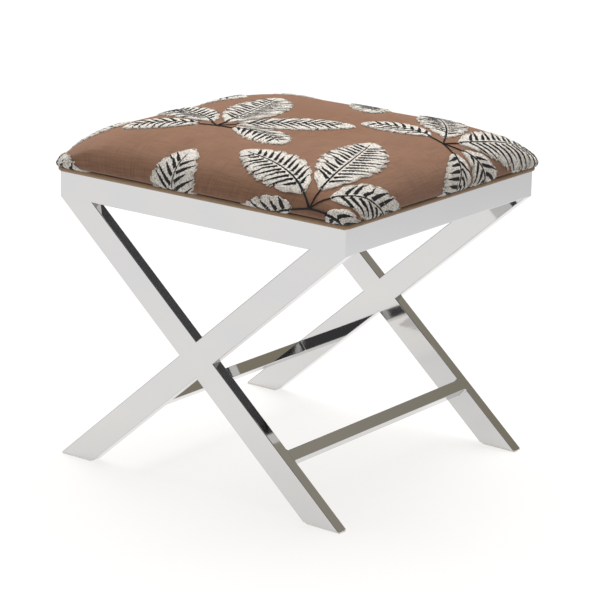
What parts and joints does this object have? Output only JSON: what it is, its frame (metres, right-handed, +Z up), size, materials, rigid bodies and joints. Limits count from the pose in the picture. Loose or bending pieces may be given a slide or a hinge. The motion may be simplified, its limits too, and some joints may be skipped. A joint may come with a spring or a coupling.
{
  "type": "x frame stool",
  "caption": "Upholstered stool: a crowned, welted linen cushion with raised tufted leaf motifs on a welded frame of mirror polished steel X legs, top rails and low stretchers.",
  "frame": {"origin": "on the floor under the middle of the stool", "axes": "+X along the long front face, +Y from the front face to the rear one, +Z up"},
  "size_m": [0.529, 0.479, 0.499],
  "materials": {
    "polished_steel": "mirror polished stainless steel with slightly rounded edges",
    "zinc_steel": "zinc plated fasteners",
    "pale_nylon": "pale translucent nylon",
    "plywood": "raw plywood",
    "seat_foam": null,
    "wadding": "polyester wadding",
    "brown_linen": "plain weave brown linen",
    "welt_linen": "olive brown bias cut cloth over a cord",
    "black_cloth": "black non woven dust cloth",
    "ivory_pile": "looped and cut ivory tufting",
    "black_pile": "flat black embroidery between the tufts"
  },
  "bodies": {
    "root": {"front_top_rail": "polished_steel", "rear_top_rail": "polished_steel", "left_end_rail": "polished_steel", "right_end_rail": "polished_steel", "front_long_leg": "polished_steel", "front_upper_half_leg": "polished_steel", "front_lower_half_leg": "polished_steel", "rear_long_leg": "polished_steel", "rear_upper_half_leg": "polished_steel", "rear_lower_half_leg": "polished_steel", "left_stretcher": "polished_steel", "right_stretcher": "polished_steel", "corner_plate_front_left": "polished_steel", "corner_plate_front_right": "polished_steel", "corner_plate_rear_left": "polished_steel", "corner_plate_rear_right": "polished_steel", "foot_glide_front_left": "pale_nylon", "tee_nut_front_left": "zinc_steel", "seat_washer_front_left": "zinc_steel", "seat_screw_front_left": "zinc_steel", "foot_glide_front_right": "pale_nylon", "tee_nut_front_right": "zinc_steel", "seat_washer_front_right": "zinc_steel", "seat_screw_front_right": "zinc_steel", "foot_glide_rear_left": "pale_nylon", "tee_nut_rear_left": "zinc_steel", "seat_washer_rear_left": "zinc_steel", "seat_screw_rear_left": "zinc_steel", "foot_glide_rear_right": "pale_nylon", "tee_nut_rear_right": "zinc_steel", "seat_washer_rear_right": "zinc_steel", "seat_screw_rear_right": "zinc_steel", "seat_deck": "plywood", "seat_foam": "seat_foam", "seat_wadding": "wadding", "seat_cover": "brown_linen", "welt": "welt_linen", "dust_cover": "black_cloth"}
  },
  "joints": []
}
